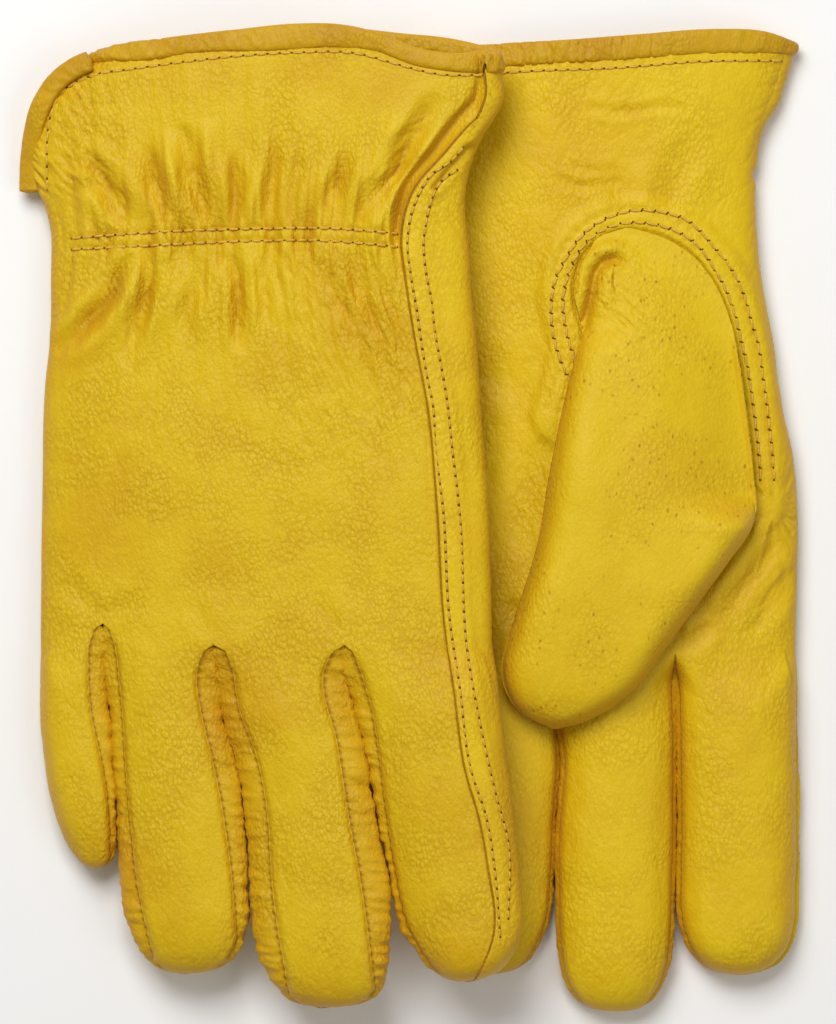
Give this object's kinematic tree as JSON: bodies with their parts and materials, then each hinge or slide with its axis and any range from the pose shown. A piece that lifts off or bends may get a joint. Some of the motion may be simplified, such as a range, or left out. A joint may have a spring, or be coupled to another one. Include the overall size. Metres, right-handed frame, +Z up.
{
  "type": "leather work gloves",
  "caption": "Pair of unlined yellow grain-leather work gloves with shirred elastic wrists, lapped side seams and keystone thumbs, laid one over the other.",
  "frame": {"origin": "centre of the pair's bounding box, on the surface that the gloves lie on", "axes": "+Z up from that surface, +Y from the fingers to the cuffs, +X to the thumb side of both gloves"},
  "size_m": [0.1951, 0.245, 0.0341],
  "materials": {
    "back_leather": "smooth yellow grain leather, fine pebble, low sheen",
    "palm_leather": "yellow grain leather with a pebbled grain, low sheen",
    "thumb_leather": "smooth yellow grain leather with small pores",
    "fourchette_leather": "yellow grain leather, cross-wrinkled",
    "binding": "folded yellow leather strip, puckered",
    "suede": "matt flesh side of the hide",
    "thread": "golden twisted polyester thread",
    "elastic": "woven off-white elastic"
  },
  "bodies": {
    "left_hand": {"left_back_panel": "back_leather", "left_palm_panel": "palm_leather", "left_cuff_binding": "binding", "left_slit_binding": "binding", "left_wrist_elastic": "elastic", "left_hem_stitches": "thread", "left_wrist_stitches": "thread", "left_lap_stitches": "thread", "left_thumb_seam": "thread", "left_keystone": "thumb_leather", "left_middle_root_back": "back_leather", "left_middle_root_front": "palm_leather", "left_middle_root_fourchettes": "fourchette_leather", "left_ring_back": "back_leather", "left_ring_front": "palm_leather", "left_ring_fourchettes": "fourchette_leather", "left_little_back": "back_leather", "left_little_front": "palm_leather", "left_little_fourchette": "fourchette_leather"},
    "left_thumb": {"left_thumb_front": "thumb_leather", "left_thumb_back": "thumb_leather"},
    "left_index": {"left_index_back": "back_leather", "left_index_front": "palm_leather", "left_index_fourchette": "fourchette_leather"},
    "left_middle": {"left_middle_back": "back_leather", "left_middle_front": "palm_leather", "left_middle_fourchettes": "fourchette_leather"},
    "right_hand": {"right_back_panel": "back_leather", "right_palm_panel": "palm_leather", "right_cuff_binding": "binding", "right_slit_binding": "binding", "right_wrist_elastic": "elastic", "right_hem_stitches": "thread", "right_wrist_stitches": "thread", "right_lap_stitches": "thread", "right_thumb_seam": "thread", "right_keystone": "thumb_leather", "right_thumb_front": "thumb_leather", "right_thumb_back": "thumb_leather"},
    "right_index": {"right_index_back": "back_leather", "right_index_front": "palm_leather", "right_index_fourchette": "fourchette_leather"},
    "right_middle": {"right_middle_back": "back_leather", "right_middle_front": "palm_leather", "right_middle_fourchettes": "fourchette_leather"},
    "right_ring": {"right_ring_back": "back_leather", "right_ring_front": "palm_leather", "right_ring_fourchettes": "fourchette_leather"},
    "right_little": {"right_little_back": "back_leather", "right_little_front": "palm_leather", "right_little_fourchette": "fourchette_leather"}
  },
  "joints": [
    {"name": "left_thumb_lift", "type": "hinge", "parent": "left_hand", "child": "left_thumb", "pos_m": [0.0642, 0.0248, 0.0162], "axis": [-0.6667, 0.7453, 0], "range_deg": [0, 75]},
    {"name": "left_index_curl", "type": "hinge", "parent": "left_hand", "child": "left_index", "pos_m": [0.07855, -0.03365, 0.0142], "axis": [-1, 0, 0], "range_deg": [0, 60]},
    {"name": "left_middle_curl", "type": "hinge", "parent": "left_hand", "child": "left_middle", "pos_m": [0.04855, -0.06685, 0.0142], "axis": [-1, 0, 0], "range_deg": [0, 60]},
    {"name": "right_glove_lift", "type": "slide", "parent": "left_hand", "child": "right_hand", "axis": [0, 0, 1], "range_m": [0, 0.15]},
    {"name": "right_index_curl", "type": "hinge", "parent": "right_hand", "child": "right_index", "pos_m": [-0.00155, -0.03365, 0.03106], "axis": [-0.9848, 0, -0.1736], "range_deg": [0, 45]},
    {"name": "right_middle_curl", "type": "hinge", "parent": "right_hand", "child": "right_middle", "pos_m": [-0.03641, -0.03365, 0.02491], "axis": [-0.9848, 0, -0.1736], "range_deg": [0, 45]},
    {"name": "right_ring_curl", "type": "hinge", "parent": "right_hand", "child": "right_ring", "pos_m": [-0.06615, -0.03365, 0.01967], "axis": [-0.9848, 0, -0.1736], "range_deg": [0, 45]},
    {"name": "right_little_curl", "type": "hinge", "parent": "right_hand", "child": "right_little", "pos_m": [-0.08772, -0.03365, 0.01587], "axis": [-0.9848, 0, -0.1736], "range_deg": [0, 45]}
  ]
}
